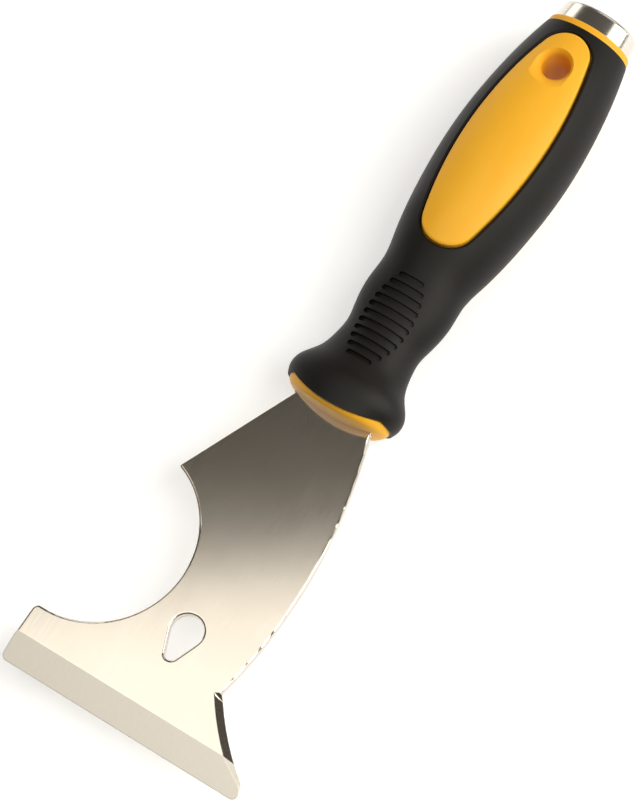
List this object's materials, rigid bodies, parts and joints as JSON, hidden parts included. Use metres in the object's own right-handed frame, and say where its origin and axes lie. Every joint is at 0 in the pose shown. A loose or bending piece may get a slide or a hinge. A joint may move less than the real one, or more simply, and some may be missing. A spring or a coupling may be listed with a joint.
{
  "type": "painters multi tool",
  "caption": "Flat steel scraper blade with a hooked spike, roller-cleaning crescent and nail slot, in a soft-grip handle with a hammer cap.",
  "frame": {"origin": "centre of the hanging hole, on the middle plane of the blade", "axes": "+Y along the handle to the hammer cap, the blade points to -Y; +Z out of the face with the ground bevel, along the hanging hole; +X across, towards the blade's pointed side"},
  "size_m": [0.0651, 0.2038, 0.028],
  "materials": {
    "blade_steel": "stainless strip, satin polished, with a ground bevel",
    "yellow_plastic": "moulded polypropylene, warm yellow, satin",
    "rivet_steel": "plain steel rivets, hidden",
    "grip_rubber": "moulded thermoplastic rubber, matt black",
    "cap_steel": "bright plated steel, polished"
  },
  "bodies": {
    "root": {"blade": "blade_steel", "front_bolster": "yellow_plastic", "core_front": "yellow_plastic", "core_back": "yellow_plastic", "core_rivets": "rivet_steel", "grip_sleeve": "grip_rubber", "rear_collar": "yellow_plastic", "hammer_cap": "cap_steel"}
  },
  "joints": []
}
